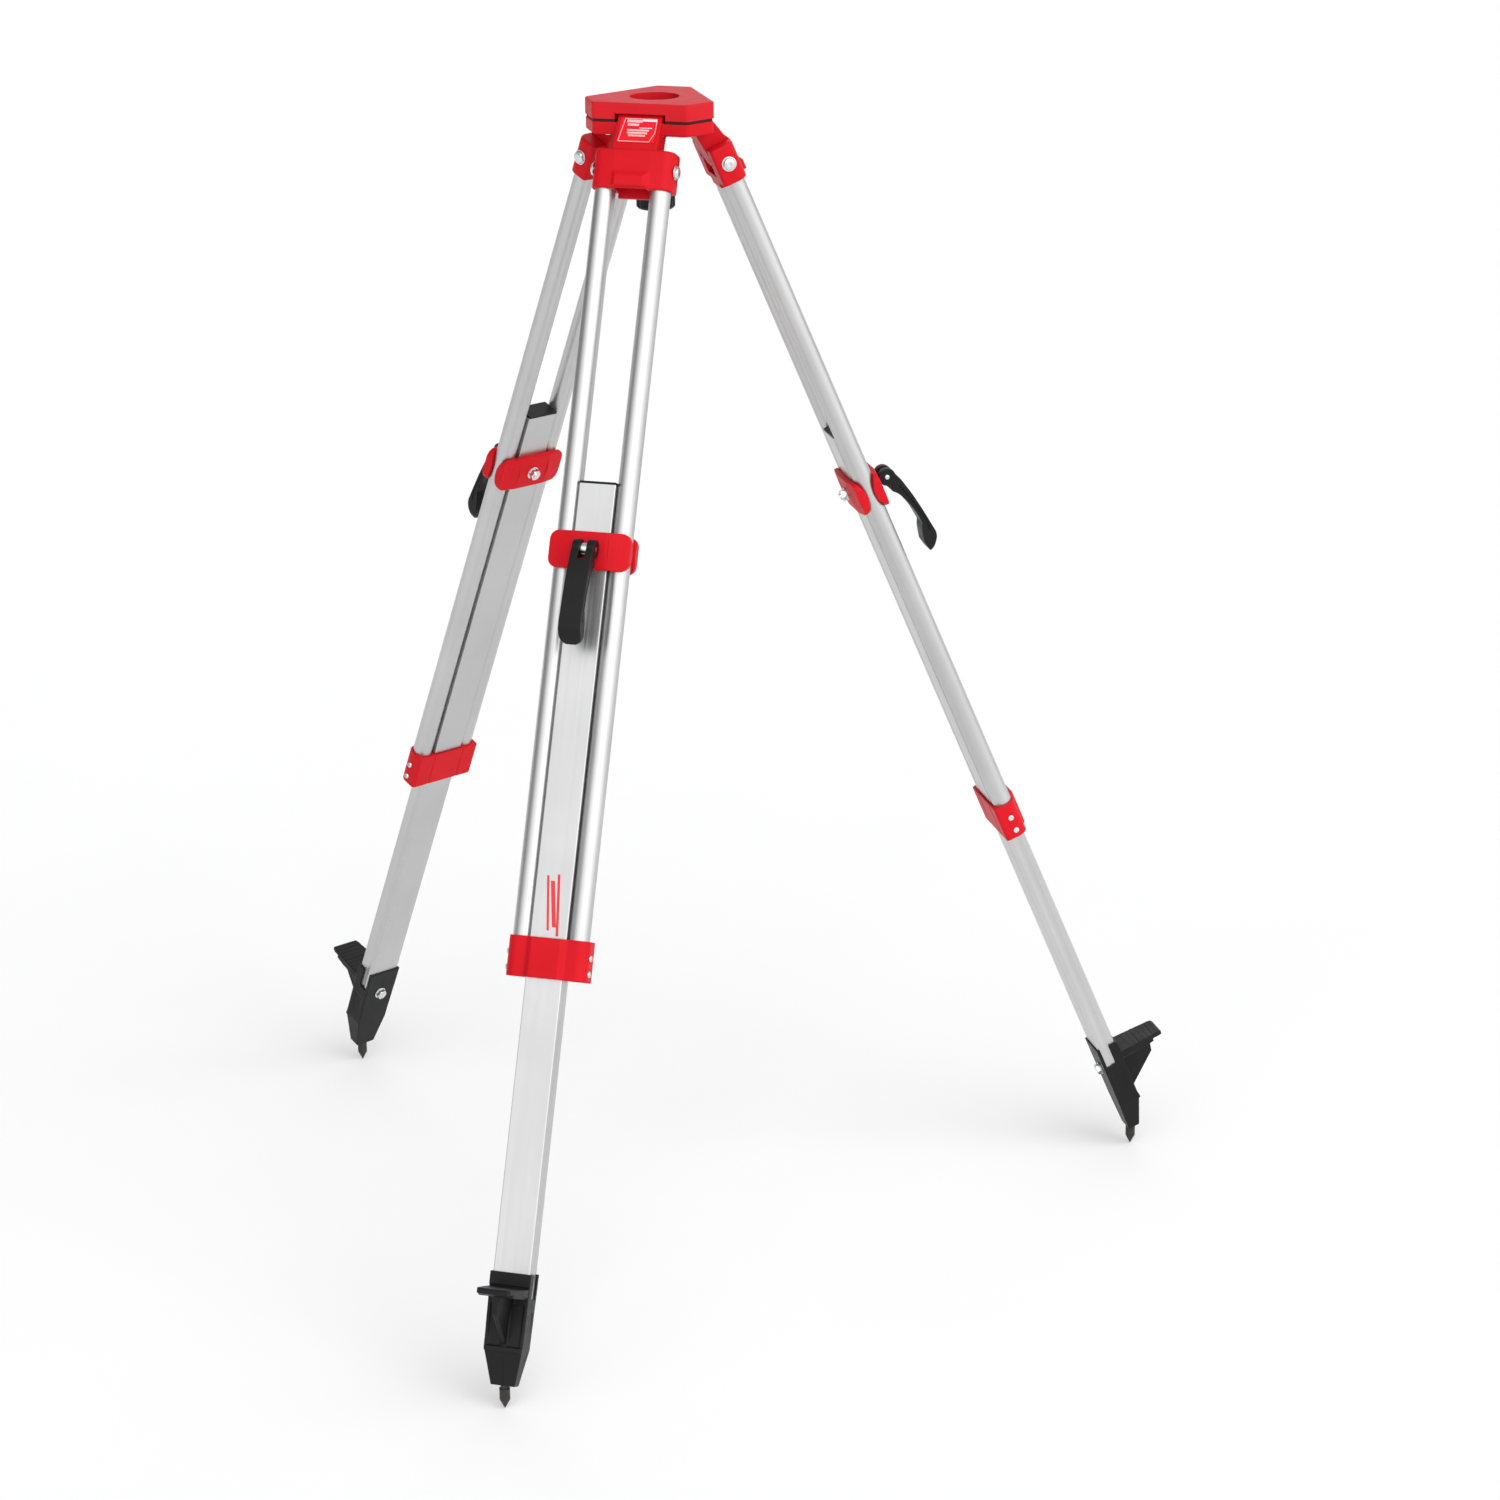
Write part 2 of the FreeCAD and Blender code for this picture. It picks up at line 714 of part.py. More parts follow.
def make_extension(name):
    """The hollow extrusion with a groove down each side that rides on the tubes."""
    body = new_body(f"extension_{name}")
    half, thick = extension_half, extension_thick_half
    top, bottom = -extension_top, -extension_bottom
    pad(body, "XY", bottom, top, rectangle(-half, -thick, half, thick))
    dress(body, "Fillet", mm(1.2), runs_along("Z"))
    pocket(body, "XY", bottom, top, *both_tubes(groove_radius))
    pocket(body, "XY", bottom, top, rectangle(-half + 3.4, -thick + 2, half - 3.4, thick - 2))
    bolt = clamp_bolt_radius + 0.3
    pocket(body, "XZ", -thick, thick, circle(0, -clamp_level, bolt), circle(0, -foot_bolt_level, bolt))


def make_end_cap(name):
    """The flat plug in the extension's top end."""
    body = new_body(f"end_cap_{name}")
    half, thick = extension_half - 0.3, extension_thick_half - 0.3
    top = -extension_top
    pad(body, "XY", top - 16, top, rectangle(-half + 3.3, -thick + 2, half - 3.3, thick - 2))
    rim = mm(2.8)
    pad(body, "XY", top, top + rim, rectangle(-half, -thick, half, thick))
    pocket(body, "XY", top, top + rim, *both_tubes(groove_radius))


def make_clamp_plate(label, side):
    """One jaw of the leg clamp: a plate with a trough for each tube and a flat land between.

    The side is -1 for the outer jaw and 1 for the inner one.
    """
    body = new_body(label)
    back = clamp_outer_back if side < 0 else clamp_inner_back
    low, high = (-clamp_face, -back) if side < 0 else (back, clamp_face)
    bottom, top = -clamp_level - clamp_tall_half, -clamp_level + clamp_tall_half
    pad(body, "XZ", low, high, rectangle(-clamp_half, bottom, clamp_half, top))
    dress(body, "Fillet", mm(11), runs_along("Y"))
    beyond = clamp_half + 1
    face, end_face = (clamp_face + 1) * side, clamp_end_face * side
    for hand in (-1, 1):
        fall = polygon((mm(16) * hand, face), (beyond * hand, face), (beyond * hand, end_face))
        pocket(body, "XY", bottom, top, fall)
    pocket(body, "XY", bottom, top, *both_tubes(tube_radius + 0.3))
    across = extension_half + 5
    through = extension_thick_half + socket_gap
    pocket(body, "XY", bottom, top, rectangle(-across, -through, across, through))
    pocket(body, "XZ", low, high, circle(0, -clamp_level, clamp_bolt_radius + 0.3))


def make_clamp_bolt(name):
    """The bolt that draws the jaws together, with an eye for the lever's pin."""
    body = new_body(f"clamp_bolt_{name}")
    eye = (-lever_pin_reach, -clamp_level)
    eye_half = mm(3.8)
    pad(body, "XZ", -lever_pin_reach + 4.5, clamp_face + 9.5, circle(0, -clamp_level, clamp_bolt_radius))
    pad(body, "YZ", -eye_half, eye_half, circle(*eye, 7))
    pocket(body, "YZ", -eye_half, eye_half, circle(*eye, lever_pin_radius + running_gap))


def make_clamp_nut(name):
    body = new_body(f"clamp_nut_{name}")
    hole = circle(0, -clamp_level, clamp_bolt_radius + 0.05)
    nut_base = clamp_face + 1.4
    pad(body, "XZ", clamp_face, nut_base, circle(0, -clamp_level, 8.5), hole)
    pad(body, "XZ", nut_base, nut_base + 6.6, hexagon(0, -clamp_level, 13), hole)


def make_lever(name):
    """The cam lever: a forked round head on the pin, and a grip that hangs outward."""
    body = new_body(f"lever_{name}")
    pin_y, pin_z = -lever_pin_reach, -clamp_level
    # the grip's outline as (down, out) from the pin
    side_view = (
        (7.6, -7.5),
        (17.5, 2),
        (36.5, -9.8),
        (76, -18.2),
        (100, -10.8),
        (115.5, -15),
        (110, -21.3),
        (92.5, -30),
        (38, -21.3),
        (9.8, -14.7),
        (0, -10.8),
    )
    head = circle(pin_y, pin_z, 11)
    grip = polygon(*[(pin_y + out, pin_z - down) for down, out in side_view])
    pad(body, "YZ", -lever_half, lever_half, head)
    pad(body, "YZ", -lever_half, lever_half, grip)
    fork = mm(4.2)
    pocket(body, "YZ", -fork, fork, rectangle(pin_y - 20, pin_z - 14, pin_y + 12, pin_z + 12))
    pocket(body, "YZ", -lever_half, lever_half, circle(pin_y, pin_z, lever_pin_radius + running_gap))


def make_lever_pin(name):
    body = new_body(f"lever_pin_{name}")
    half = lever_half - 0.2
    pad(body, "YZ", -half, half, circle(-lever_pin_reach, -clamp_level, lever_pin_radius))


def make_foot(name):
    """The moulded shoe: a sleeve on the extension, a step pedal and a tapering toe."""
    body = new_body(f"foot_{name}")
    half, thick = foot_half, foot_thick_half
    sleeve = polygon(
        (-thick, -foot_top),
        (-thick, -foot_crease),
        (-toe_front, -foot_bottom),
        (thick, -foot_bottom),
        (thick, -foot_top),
    )
    pad(body, "YZ", -half, half, sleeve)
    beyond = half + 3
    for side in (-1, 1):
        trim = [
            (half, -foot_top),
            (half - 1.7, -foot_crease),
            (toe_half, -foot_bottom),
            (toe_half, -foot_bottom - 2),
            (beyond, -foot_bottom - 2),
            (beyond, -foot_top),
        ]
        outline = polygon(*[(across * side, level) for across, level in trim])
        pocket(body, "XZ", -thick - 1, thick + 1, outline)
    # the step and its gusset, as (out, down) from the hinge
    step = [(thick - 2, 1319), (74, 1319), (76.5, 1321.5), (75, 1325.5), (60, 1328.5), (thick - 2, 1331)]
    pad(body, "YZ", -mm(24), mm(24), polygon(*[(-size(out), -mm(down)) for out, down in step]))
    for side in (-1, 1):
        edge = [(25, -thick - 1), (20.5, -mm(70)), (17, -mm(80)), (30, -mm(80)), (30, -thick - 1)]
        outline = polygon(*[(size(across) * side, out) for across, out in edge])
        pocket(body, "XY", -mm(1340), -mm(1315), outline)
    gusset = [(thick - 2, 1322), (62, 1324), (57, 1349), (18.5, 1381), (thick - 2, 1386)]
    pad(body, "YZ", -mm(3), mm(3), polygon(*[(-size(out), -mm(down)) for out, down in gusset]))
    across, through = extension_half + 0.1, extension_thick_half + 0.1
    cavity = rectangle(-across, -through, across, through)
    pocket(body, "XY", -extension_bottom - 0.5, -foot_top, cavity)
    window = rectangle(-2.5, -foot_window_bottom, 10, -foot_top)
    pocket(body, "YZ", -half - 1, half + 1, window)
    pocket(body, "XZ", -thick + 1.9, thick, circle(0, -foot_bolt_level, clamp_bolt_radius + 0.1))
    socket_out = spike_tip_inset - spike_length * sine(splay)
    socket_top = -spike_tip_depth + spike_length * cosine(splay)
    tilted_hole(body, socket_out, socket_top, splay, spike_radius - 1.4, mm(22))


def make_foot_bolt(name):
    """The bolt through the shoe and the extension, with its head on the inner side."""
    body = new_body(f"foot_bolt_{name}")
    level = -foot_bolt_level
    head_base = foot_thick_half + 1.4
    pad(body, "XZ", -foot_thick_half + 2, foot_thick_half, circle(0, level, clamp_bolt_radius))
    pad(body, "XZ", foot_thick_half, head_base, circle(0, level, 8.5))
    pad(body, "XZ", head_base, head_base + 5.3, hexagon(0, level, 13))


def make_spike(name):
    """The steel ground point.  It stands upright when the leg is splayed."""
    body = new_body(f"spike_{name}")
    shank = spike_radius - 1.5
    end = spike_length - 0.2
    turned(body, (0, 0), (spike_radius, 12), (spike_radius, 26), (shank, 27), (shank, end), (0, end))


# ---------------------------------------------------------------- build

def upright(body, azimuth):
    """Put the spike's point where the splayed leg's tip comes to."""
    turn = math.radians(azimuth)
    reach = pivot_radius + spike_tip_depth * sine(splay) - spike_tip_inset * cosine(splay)
    depth = pivot_depth + spike_tip_depth * cosine(splay) + spike_tip_inset * sine(splay)
    body.setExpression("Placement.Base.x", (reach * math.cos(turn)).formula)
    body.setExpression("Placement.Base.y", (reach * math.sin(turn)).formula)
    body.setExpression("Placement.Base.z", (-depth).formula)


def check():
    """Stop unless every object is sound, every pad adds and every pocket cuts."""
    faults = []
    for item in doc.Objects:
        if {"Invalid", "Error"} & set(item.State):
            faults.append(f"{item.Label}: {item.State}")
    for body in bodies:
        if body.Shape.isNull() or not body.Shape.isValid():
            faults.append(f"{body.Label}: bad shape")
        before = 0.0
        for feature in body.Group:
            if feature.TypeId in ("PartDesign::Pad", "PartDesign::Pocket"):
                change = feature.Shape.Volume - before
                if (change > 1e-6) != (feature.TypeId == "PartDesign::Pad"):
                    faults.append(f"{feature.Name}: changes the volume by {change:.3f}")
            if hasattr(feature, "Shape") and feature.TypeId != "Sketcher::SketchObject":
                before = feature.Shape.Volume
    if faults:
        raise RuntimeError("; ".join(faults))


def main():
    make_head_cover()
    make_head_gasket()
    make_head_plate()
    make_head_screws()
    make_hinge_bushes()
    make_label_plate()
    make_arm_pivot()
    make_fixing_arm()
    make_slider_bush()
    make_thrust_washer()
    make_fixing_screw()
    make_fixing_knob()
    for name, azimuth in LEGS.items():
        first = len(bodies)
        make_shoulder(name)
        make_tubes(name)
        make_hinge_fasteners(name)
        make_collar(name)
        make_collar_screws(name)
        make_extension(name)
        make_end_cap(name)
        make_clamp_plate(f"clamp_outer_{name}", -1)
        make_clamp_plate(f"clamp_inner_{name}", 1)
        make_clamp_bolt(name)
        make_clamp_nut(name)
        make_lever(name)
        make_lever_pin(name)
        make_foot(name)
        make_foot_bolt(name)
        for body in bodies[first:]:
            splayed(body, azimuth)
        make_spike(name)
        upright(bodies[-1], azimuth)
    doc.recompute()
    check()
    os.makedirs("parts", exist_ok=True)
    for body in bodies:
        body.Shape.exportStep(f"parts/{body.Label}.step")


main()
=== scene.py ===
import json
import math

import bmesh
import bpy
from mathutils import Matrix, Vector


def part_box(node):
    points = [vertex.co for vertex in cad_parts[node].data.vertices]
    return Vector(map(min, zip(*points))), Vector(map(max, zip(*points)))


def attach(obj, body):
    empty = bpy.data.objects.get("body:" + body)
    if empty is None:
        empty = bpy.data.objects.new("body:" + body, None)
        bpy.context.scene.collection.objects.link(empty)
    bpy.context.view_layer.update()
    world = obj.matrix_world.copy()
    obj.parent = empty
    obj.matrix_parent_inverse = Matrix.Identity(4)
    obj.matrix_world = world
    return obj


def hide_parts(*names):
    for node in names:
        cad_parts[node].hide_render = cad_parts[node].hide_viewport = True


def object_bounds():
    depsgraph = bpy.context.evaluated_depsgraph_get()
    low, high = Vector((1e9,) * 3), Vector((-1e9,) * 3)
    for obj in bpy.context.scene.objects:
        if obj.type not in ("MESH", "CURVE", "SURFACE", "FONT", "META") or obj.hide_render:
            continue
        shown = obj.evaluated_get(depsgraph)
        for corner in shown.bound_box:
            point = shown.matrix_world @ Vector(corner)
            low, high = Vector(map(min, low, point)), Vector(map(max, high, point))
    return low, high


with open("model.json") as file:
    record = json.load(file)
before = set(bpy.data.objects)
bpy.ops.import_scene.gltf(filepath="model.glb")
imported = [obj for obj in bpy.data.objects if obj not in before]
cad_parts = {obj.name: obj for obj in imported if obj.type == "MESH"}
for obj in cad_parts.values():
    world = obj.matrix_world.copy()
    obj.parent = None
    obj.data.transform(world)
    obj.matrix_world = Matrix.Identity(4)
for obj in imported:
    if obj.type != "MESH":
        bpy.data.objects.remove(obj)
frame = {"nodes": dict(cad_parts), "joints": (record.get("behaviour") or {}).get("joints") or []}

# Looks of the surveyor's tripod.  The leg pieces are shaped once, in the leg's own frame in
# millimetres, and are then placed three times by each leg's hinge and slide.  That frame has
# X across the leg, Y towards the tripod's middle, Z up the leg, and its origin at the hinge pin.

cad_low, cad_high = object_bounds()
joints = {joint["name"]: joint for joint in frame["joints"]}
MM = 0.001
LEGS = ("front", "right", "left")
# half the width of the castings across a leg
CASTING_HALF = 50.0
# from a leg's middle to the middle of each of its tubes
TUBE_OFFSET = 34.35
# how far down the leg the clamp sits
CLAMP = -457.0
# the level of the bolt through each foot
FOOT_BOLT = -1339.0
# the two levels of the collar's screws
COLLAR_SCREWS = (-932.0, -950.5)
# brightness of the surroundings by compass bearing in degrees
SURROUND = (
    (-180.0, 0.2),
    (-160.0, 0.26),
    (-135.0, 0.78),
    (-108.0, 1.64),
    (-72.0, 1.55),
    (-45.0, 1.5),
    (10.0, 1.15),
    (60.0, 0.68),
    (90.0, 1.1),
    (124.0, 1.1),
    (141.0, 0.3),
    (160.0, 0.2),
    (180.0, 0.2),
)


# ---------------------------------------------------------------- frames

def leg_matrix(name):
    """The leg's own frame, from its hinge and its slide."""
    hinge = joints[f"leg_hinge_{name}"]
    across = -Vector(hinge["axis"]).normalized()
    up = -Vector(joints[f"leg_slide_{name}"]["axis"]).normalized()
    inward = up.cross(across)
    matrix = Matrix((across, inward, up)).transposed().to_4x4()
    matrix.translation = Vector(hinge["pos_m"])
    return matrix


leg_frames = {name: leg_matrix(name) for name in LEGS}
HEAD = Matrix.Identity(4)


# ---------------------------------------------------------------- solids in millimetres

SPREAD = {
    "X": lambda a, b, c: (c, a, b),
    "Y": lambda a, b, c: (a, c, b),
    "Z": lambda a, b, c: (a, b, c),
}


def loft(rings):
    """A closed solid through rings of points."""
    shape = bmesh.new()
    rows = [[shape.verts.new(point) for point in ring] for ring in rings]
    count = len(rows[0])
    for below, above in zip(rows, rows[1:]):
        for i in range(count):
            j = (i + 1) % count
            shape.faces.new((below[i], below[j], above[j], above[i]))
    shape.faces.new(list(reversed(rows[0])))
    shape.faces.new(rows[-1])
    bmesh.ops.recalc_face_normals(shape, faces=shape.faces)
    mesh = bpy.data.meshes.new("solid")
    shape.to_mesh(mesh)
    shape.free()
    return mesh


def prism(axis, low, high, outline):
    """An outline in the plane across an axis, drawn out between two distances along it."""
    spread = SPREAD[axis]
    return loft([[spread(a, b, level) for a, b in outline] for level in (low, high)])


def disc(across, along, radius, steps=48):
    turns = [2 * math.pi * i / steps for i in range(steps)]
    return [(across + radius * math.cos(t), along + radius * math.sin(t)) for t in turns]


def hexagon(across, along, flats):
    return disc(across, along, flats / math.sqrt(3), 6)


def box(x0, x1, y0, y1):
    return [(x0, y0), (x1, y0), (x1, y1), (x0, y1)]


def rounded_box(x0, x1, y0, y1, radius, steps=8):
    points = []
    corners = ((x1 - radius, y1 - radius), (x0 + radius, y1 - radius),
               (x0 + radius, y0 + radius), (x1 - radius, y0 + radius))
    for quarter, (x, y) in enumerate(corners):
        for i in range(steps + 1):
            turn = math.pi / 2 * (quarter + i / steps)
            points.append((x + radius * math.cos(turn), y + radius * math.sin(turn)))
    return points


def lathe(axis, centre, profile, steps=48):
    """A solid of revolution from (distance along the axis, radius) pairs."""
    spread = SPREAD[axis]
    return loft([[spread(a, b, along) for a, b in disc(*centre, radius, steps)]
                 for along, radius in profile])


def curve_through(points, steps=6):
    """A smooth line through points; a point with a third value is kept as a sharp corner."""
    line = []
    last = len(points) - 1
    for i in range(last):
        start, end = Vector(points[i][:2]), Vector(points[i + 1][:2])
        before = start if i == 0 or len(points[i]) > 2 else Vector(points[i - 1][:2])
        after = end if i + 1 == last or len(points[i + 1]) > 2 else Vector(points[i + 2][:2])
        slope_in, slope_out = (end - before) / 2, (after - start) / 2
        for k in range(steps):
            t = k / steps
            here = ((2 * t**3 - 3 * t**2 + 1) * start + (t**3 - 2 * t**2 + t) * slope_in
                    + (3 * t**2 - 2 * t**3) * end + (t**3 - t**2) * slope_out)
            line.append(tuple(here))
    line.append(tuple(points[-1][:2]))
    return line


# ---------------------------------------------------------------- shaping

def evaluated(work):
    """The work object's mesh with its modifiers applied."""
    graph = bpy.context.evaluated_depsgraph_get()
    mesh = bpy.data.meshes.new_from_object(work.evaluated_get(graph))
    work.modifiers.clear()
    work.data = mesh


def combined(base, added=(), cut=(), shared=()):
    """One mesh out of solids that are joined, cut away, or kept only where they overlap."""
    scene = bpy.context.scene.collection
    work = bpy.data.objects.new("work", base)
    scene.objects.link(work)
    for operation, meshes in (("UNION", added), ("DIFFERENCE", cut), ("INTERSECT", shared)):
        for mesh in meshes:
            tool = bpy.data.objects.new("tool", mesh)
            scene.objects.link(tool)
            change = work.modifiers.new("change", "BOOLEAN")
            change.operation = operation
            change.solver = "EXACT"
            change.object = tool
            evaluated(work)
            bpy.data.objects.remove(tool)
    mesh = work.data
    bpy.data.objects.remove(work)
    return mesh


def moulded(mesh, grain=0.7, rounds=8, keep=0.35):
    """Round every edge and inner corner of a mesh as a casting or moulding has them."""
    work = bpy.data.objects.new("work", mesh)
    bpy.context.scene.collection.objects.link(work)
    remesh = work.modifiers.new("remesh", "REMESH")
    remesh.mode = "VOXEL"
    remesh.voxel_size = grain
    smooth = work.modifiers.new("smooth", "SMOOTH")
    smooth.factor = 0.5
    smooth.iterations = rounds
    fewer = work.modifiers.new("fewer", "DECIMATE")
    fewer.ratio = keep
    evaluated(work)
    mesh = work.data
    bpy.data.objects.remove(work)
    mesh.polygons.foreach_set("use_smooth", [True] * len(mesh.polygons))
    return mesh


def cad_shape(node, matrix=HEAD):
    """A welded copy of a CAD node's mesh in millimetres, in a frame."""
    mesh = frame["nodes"][node].data.copy()
    mesh.materials.clear()
    mesh.transform(Matrix.Scale(1 / MM, 4) @ matrix.inverted())
    shape = bmesh.new()
    shape.from_mesh(mesh)
    bmesh.ops.remove_doubles(shape, verts=shape.verts, dist=0.002)
    shape.to_mesh(mesh)
    shape.free()
    return mesh


def leg_shape(node):
    return cad_shape(f"{node}_front", leg_frames["front"])


def joined(*meshes):
    """Several meshes in one, left as they are."""
    shape = bmesh.new()
    for mesh in meshes:
        shape.from_mesh(mesh)
    mesh = bpy.data.meshes.new("joined")
    shape.to_mesh(mesh)
    shape.free()
    mesh.polygons.foreach_set("use_smooth", [True] * len(mesh.polygons))
    mesh.set_sharp_from_angle(angle=math.radians(32))
    return mesh


# ---------------------------------------------------------------- materials

def add_node(tree, kind, **settings):
    node = tree.nodes.new(kind)
    for name, value in settings.items():
        if name in node.inputs:
            node.inputs[name].default_value = value
        else:
            setattr(node, name, value)
    return node


def noise(tree, where, scale, detail=3.0, rough=0.5):
    node = add_node(tree, "ShaderNodeTexNoise")
    node.inputs["Scale"].default_value = scale
    node.inputs["Detail"].default_value = detail
    node.inputs["Roughness"].default_value = rough
    tree.links.new(where, node.inputs["Vector"])
    return node.outputs["Fac"]


def between(tree, value, low, high, start=0.3, end=0.7):
    """Map a pattern's usual range onto a range of values."""
    node = add_node(tree, "ShaderNodeMapRange")
    node.inputs["From Min"].default_value = start
    node.inputs["From Max"].default_value = end
    node.inputs["To Min"].default_value = low
    node.inputs["To Max"].default_value = high
    tree.links.new(value, node.inputs["Value"])
    return node.outputs["Result"]


def blend_colours(tree, amount, first, second):
    node = add_node(tree, "ShaderNodeMix", data_type="RGBA")
    tree.links.new(amount, node.inputs[0])
    for socket, colour in ((node.inputs[6], first), (node.inputs[7], second)):
        if isinstance(colour, tuple):
            socket.default_value = (*colour, 1.0)
        else:
            tree.links.new(colour, socket)
    return node.outputs[2]


def shader(name, metallic, spec=0.5):
    material = bpy.data.materials.new(name)
    material.use_nodes = True
    tree = material.node_tree
    surface = tree.nodes["Principled BSDF"]
    surface.inputs["Metallic"].default_value = metallic
    surface.inputs["Specular IOR Level"].default_value = spec
    return material, tree, surface


def object_place(tree, matrix=None, stretch=(1.0, 1.0, 1.0)):
    """The surface point in the object's frame, turned into a leg's frame where one is given."""
    where = add_node(tree, "ShaderNodeTexCoord").outputs["Object"]
    if matrix is not None:
        turn = add_node(tree, "ShaderNodeMapping", vector_type="TEXTURE")
        turn.inputs["Location"].default_value = matrix.translation
        turn.inputs["Rotation"].default_value = matrix.to_euler()
        tree.links.new(where, turn.inputs["Vector"])
        where = turn.outputs["Vector"]
    if stretch != (1.0, 1.0, 1.0):
        scale = add_node(tree, "ShaderNodeMapping")
        scale.inputs["Scale"].default_value = stretch
        tree.links.new(where, scale.inputs["Vector"])
        where = scale.outputs["Vector"]
    return where


def bump(tree, surface, height, strength, distance, edge=0.0):
    node = add_node(tree, "ShaderNodeBump")
    node.inputs["Strength"].default_value = strength
    node.inputs["Distance"].default_value = distance
    tree.links.new(height, node.inputs["Height"])
    if edge:
        rounding = add_node(tree, "ShaderNodeBevel", samples=6)
        rounding.inputs["Radius"].default_value = edge
        tree.links.new(rounding.outputs["Normal"], node.inputs["Normal"])
    tree.links.new(node.outputs["Normal"], surface.inputs["Normal"])


def painted_edge_highlight(tree, colour, edge_highlight, start=0.53, end=0.62):
    """Paler colour where the surface stands out: a painted highlight along convex edges."""
    out = add_node(tree, "ShaderNodeNewGeometry").outputs["Pointiness"]
    # pointiness picks out convex edges for the painted highlight
    amount = between(tree, out, 0.0, 0.45, start, end)
    return blend_colours(tree, amount, colour, edge_highlight)


def plastic(name, colour, dark, rough, grain_scale, grain_depth, edge=0.0, edge_highlight=None, spec=0.5):
    """Moulded or painted surface: fine texture, slight tone drift, and paler convex edges as a painted
    highlight.
    """
    material, tree, surface = shader(name, 0.0, spec)
    where = object_place(tree)
    drift = between(tree, noise(tree, where, 14.0, 2.0), 0.0, 1.0, 0.35, 0.65)
    tone = blend_colours(tree, drift, dark, colour)
    # paler convex edges: a painted highlight
    if edge_highlight:
        tone = painted_edge_highlight(tree, tone, edge_highlight)
    tree.links.new(tone, surface.inputs["Base Color"])
    patch = noise(tree, where, 55.0, 4.0, 0.6)
    tree.links.new(between(tree, patch, rough - 0.05, rough + 0.06), surface.inputs["Roughness"])
    bump(tree, surface, noise(tree, where, grain_scale, 2.0), grain_depth, 0.0004, edge)
    return material


def extruded(name, colour, dark, rough, matrix=None, edge=0.0):
    """Satin extruded aluminium: fine drawn lines along the leg and faint handling marks."""
    material, tree, surface = shader(name, 1.0)
    along = object_place(tree, matrix, (1.0, 1.0, 0.004))
    plain = object_place(tree, matrix)
    lines = noise(tree, along, 700.0, 2.0)
    clouds = noise(tree, plain, 9.0, 3.0)
    marks = noise(tree, plain, 120.0, 5.0, 0.7)
    tone = blend_colours(tree, between(tree, clouds, 0.0, 1.0, 0.35, 0.65), dark, colour)
    tone = blend_colours(tree, between(tree, marks, 0.0, 0.5, 0.6, 0.75), tone, dark)
    tree.links.new(tone, surface.inputs["Base Color"])
    tree.links.new(between(tree, lines, rough - 0.05, rough + 0.07), surface.inputs["Roughness"])
    bump(tree, surface, lines, 0.10, 0.0002, edge)
    return material


def plated(name, colour, dark, rough, metallic=1.0, edge=0.0003):
    """Zinc or blackened steel: mottled, with fine turning marks."""
    material, tree, surface = shader(name, metallic)
    where = object_place(tree)
    mottle = noise(tree, where, 260.0, 4.0, 0.6)
    tone = blend_colours(tree, between(tree, mottle, 0.0, 1.0, 0.35, 0.65), dark, colour)
    tree.links.new(tone, surface.inputs["Base Color"])
    tree.links.new(between(tree, mottle, rough - 0.06, rough + 0.08), surface.inputs["Roughness"])
    bump(tree, surface, noise(tree, where, 900.0, 2.0), 0.2, 0.0001, edge)
    return material


RED = (0.555, 0.0060, 0.0130)
RED_DARK = (0.515, 0.0046, 0.0105)
# paler red painted on convex edges as a painted highlight
RED_EDGE_HIGHLIGHT = (0.600, 0.026, 0.033)
BLACK = (0.0075, 0.0075, 0.0080)
BLACK_DARK = (0.0055, 0.0055, 0.0060)
# paler black painted on convex edges as a painted highlight
BLACK_EDGE_HIGHLIGHT = (0.022, 0.022, 0.023)
RUBBER = (0.050, 0.011, 0.012)
RUBBER_DARK = (0.030, 0.008, 0.009)
LABEL_RED = (0.700, 0.008, 0.016)
LABEL_RED_DARK = (0.660, 0.006, 0.013)
LABEL_PALE = (0.80, 0.47, 0.48)
LABEL_PALE_DARK = (0.74, 0.38, 0.40)
LABEL_WHITE = (0.86, 0.74, 0.74)
LABEL_WHITE_DARK = (0.80, 0.64, 0.65)
MARK_RED = (0.640, 0.020, 0.030)
MARK_RED_DARK = (0.600, 0.016, 0.024)
ZINC = (0.76, 0.77, 0.77)
ZINC_DARK = (0.62, 0.63, 0.63)
STEEL = (0.060, 0.058, 0.050)
STEEL_DARK = (0.035, 0.034, 0.030)
ALUMINIUM = (0.555, 0.555, 0.55)
ALUMINIUM_DARK = (0.52, 0.52, 0.52)

red_cover = plastic("red_cover", RED, RED_DARK, 0.5, 1500.0, 0.22, edge=0.0016, spec=0.18)
# the castings and black mouldings get a painted highlight on their convex edges
red_cast = plastic("red_cast", RED, RED_DARK, 0.42, 1100.0, 0.16, edge_highlight=RED_EDGE_HIGHLIGHT, spec=0.1)
black_moulded = plastic("black_moulded", BLACK, BLACK_DARK, 0.42, 1700.0, 0.35, edge_highlight=BLACK_EDGE_HIGHLIGHT, spec=0.2)
black_plain = plastic("black_plain", BLACK, BLACK_DARK, 0.44, 1700.0, 0.3, edge=0.0005, spec=0.2)
rubber = plastic("rubber", RUBBER, RUBBER_DARK, 0.7, 900.0, 0.3, spec=0.2)
label_red = plastic("label_red", LABEL_RED, LABEL_RED_DARK, 0.3, 700.0, 0.04, edge=0.0003, spec=0.25)
label_pale = plastic("label_pale", LABEL_PALE, LABEL_PALE_DARK, 0.3, 700.0, 0.04)
label_white = plastic("label_white", LABEL_WHITE, LABEL_WHITE_DARK, 0.3, 700.0, 0.04)
mark_red = plastic("mark_red", MARK_RED, MARK_RED_DARK, 0.4, 700.0, 0.04)
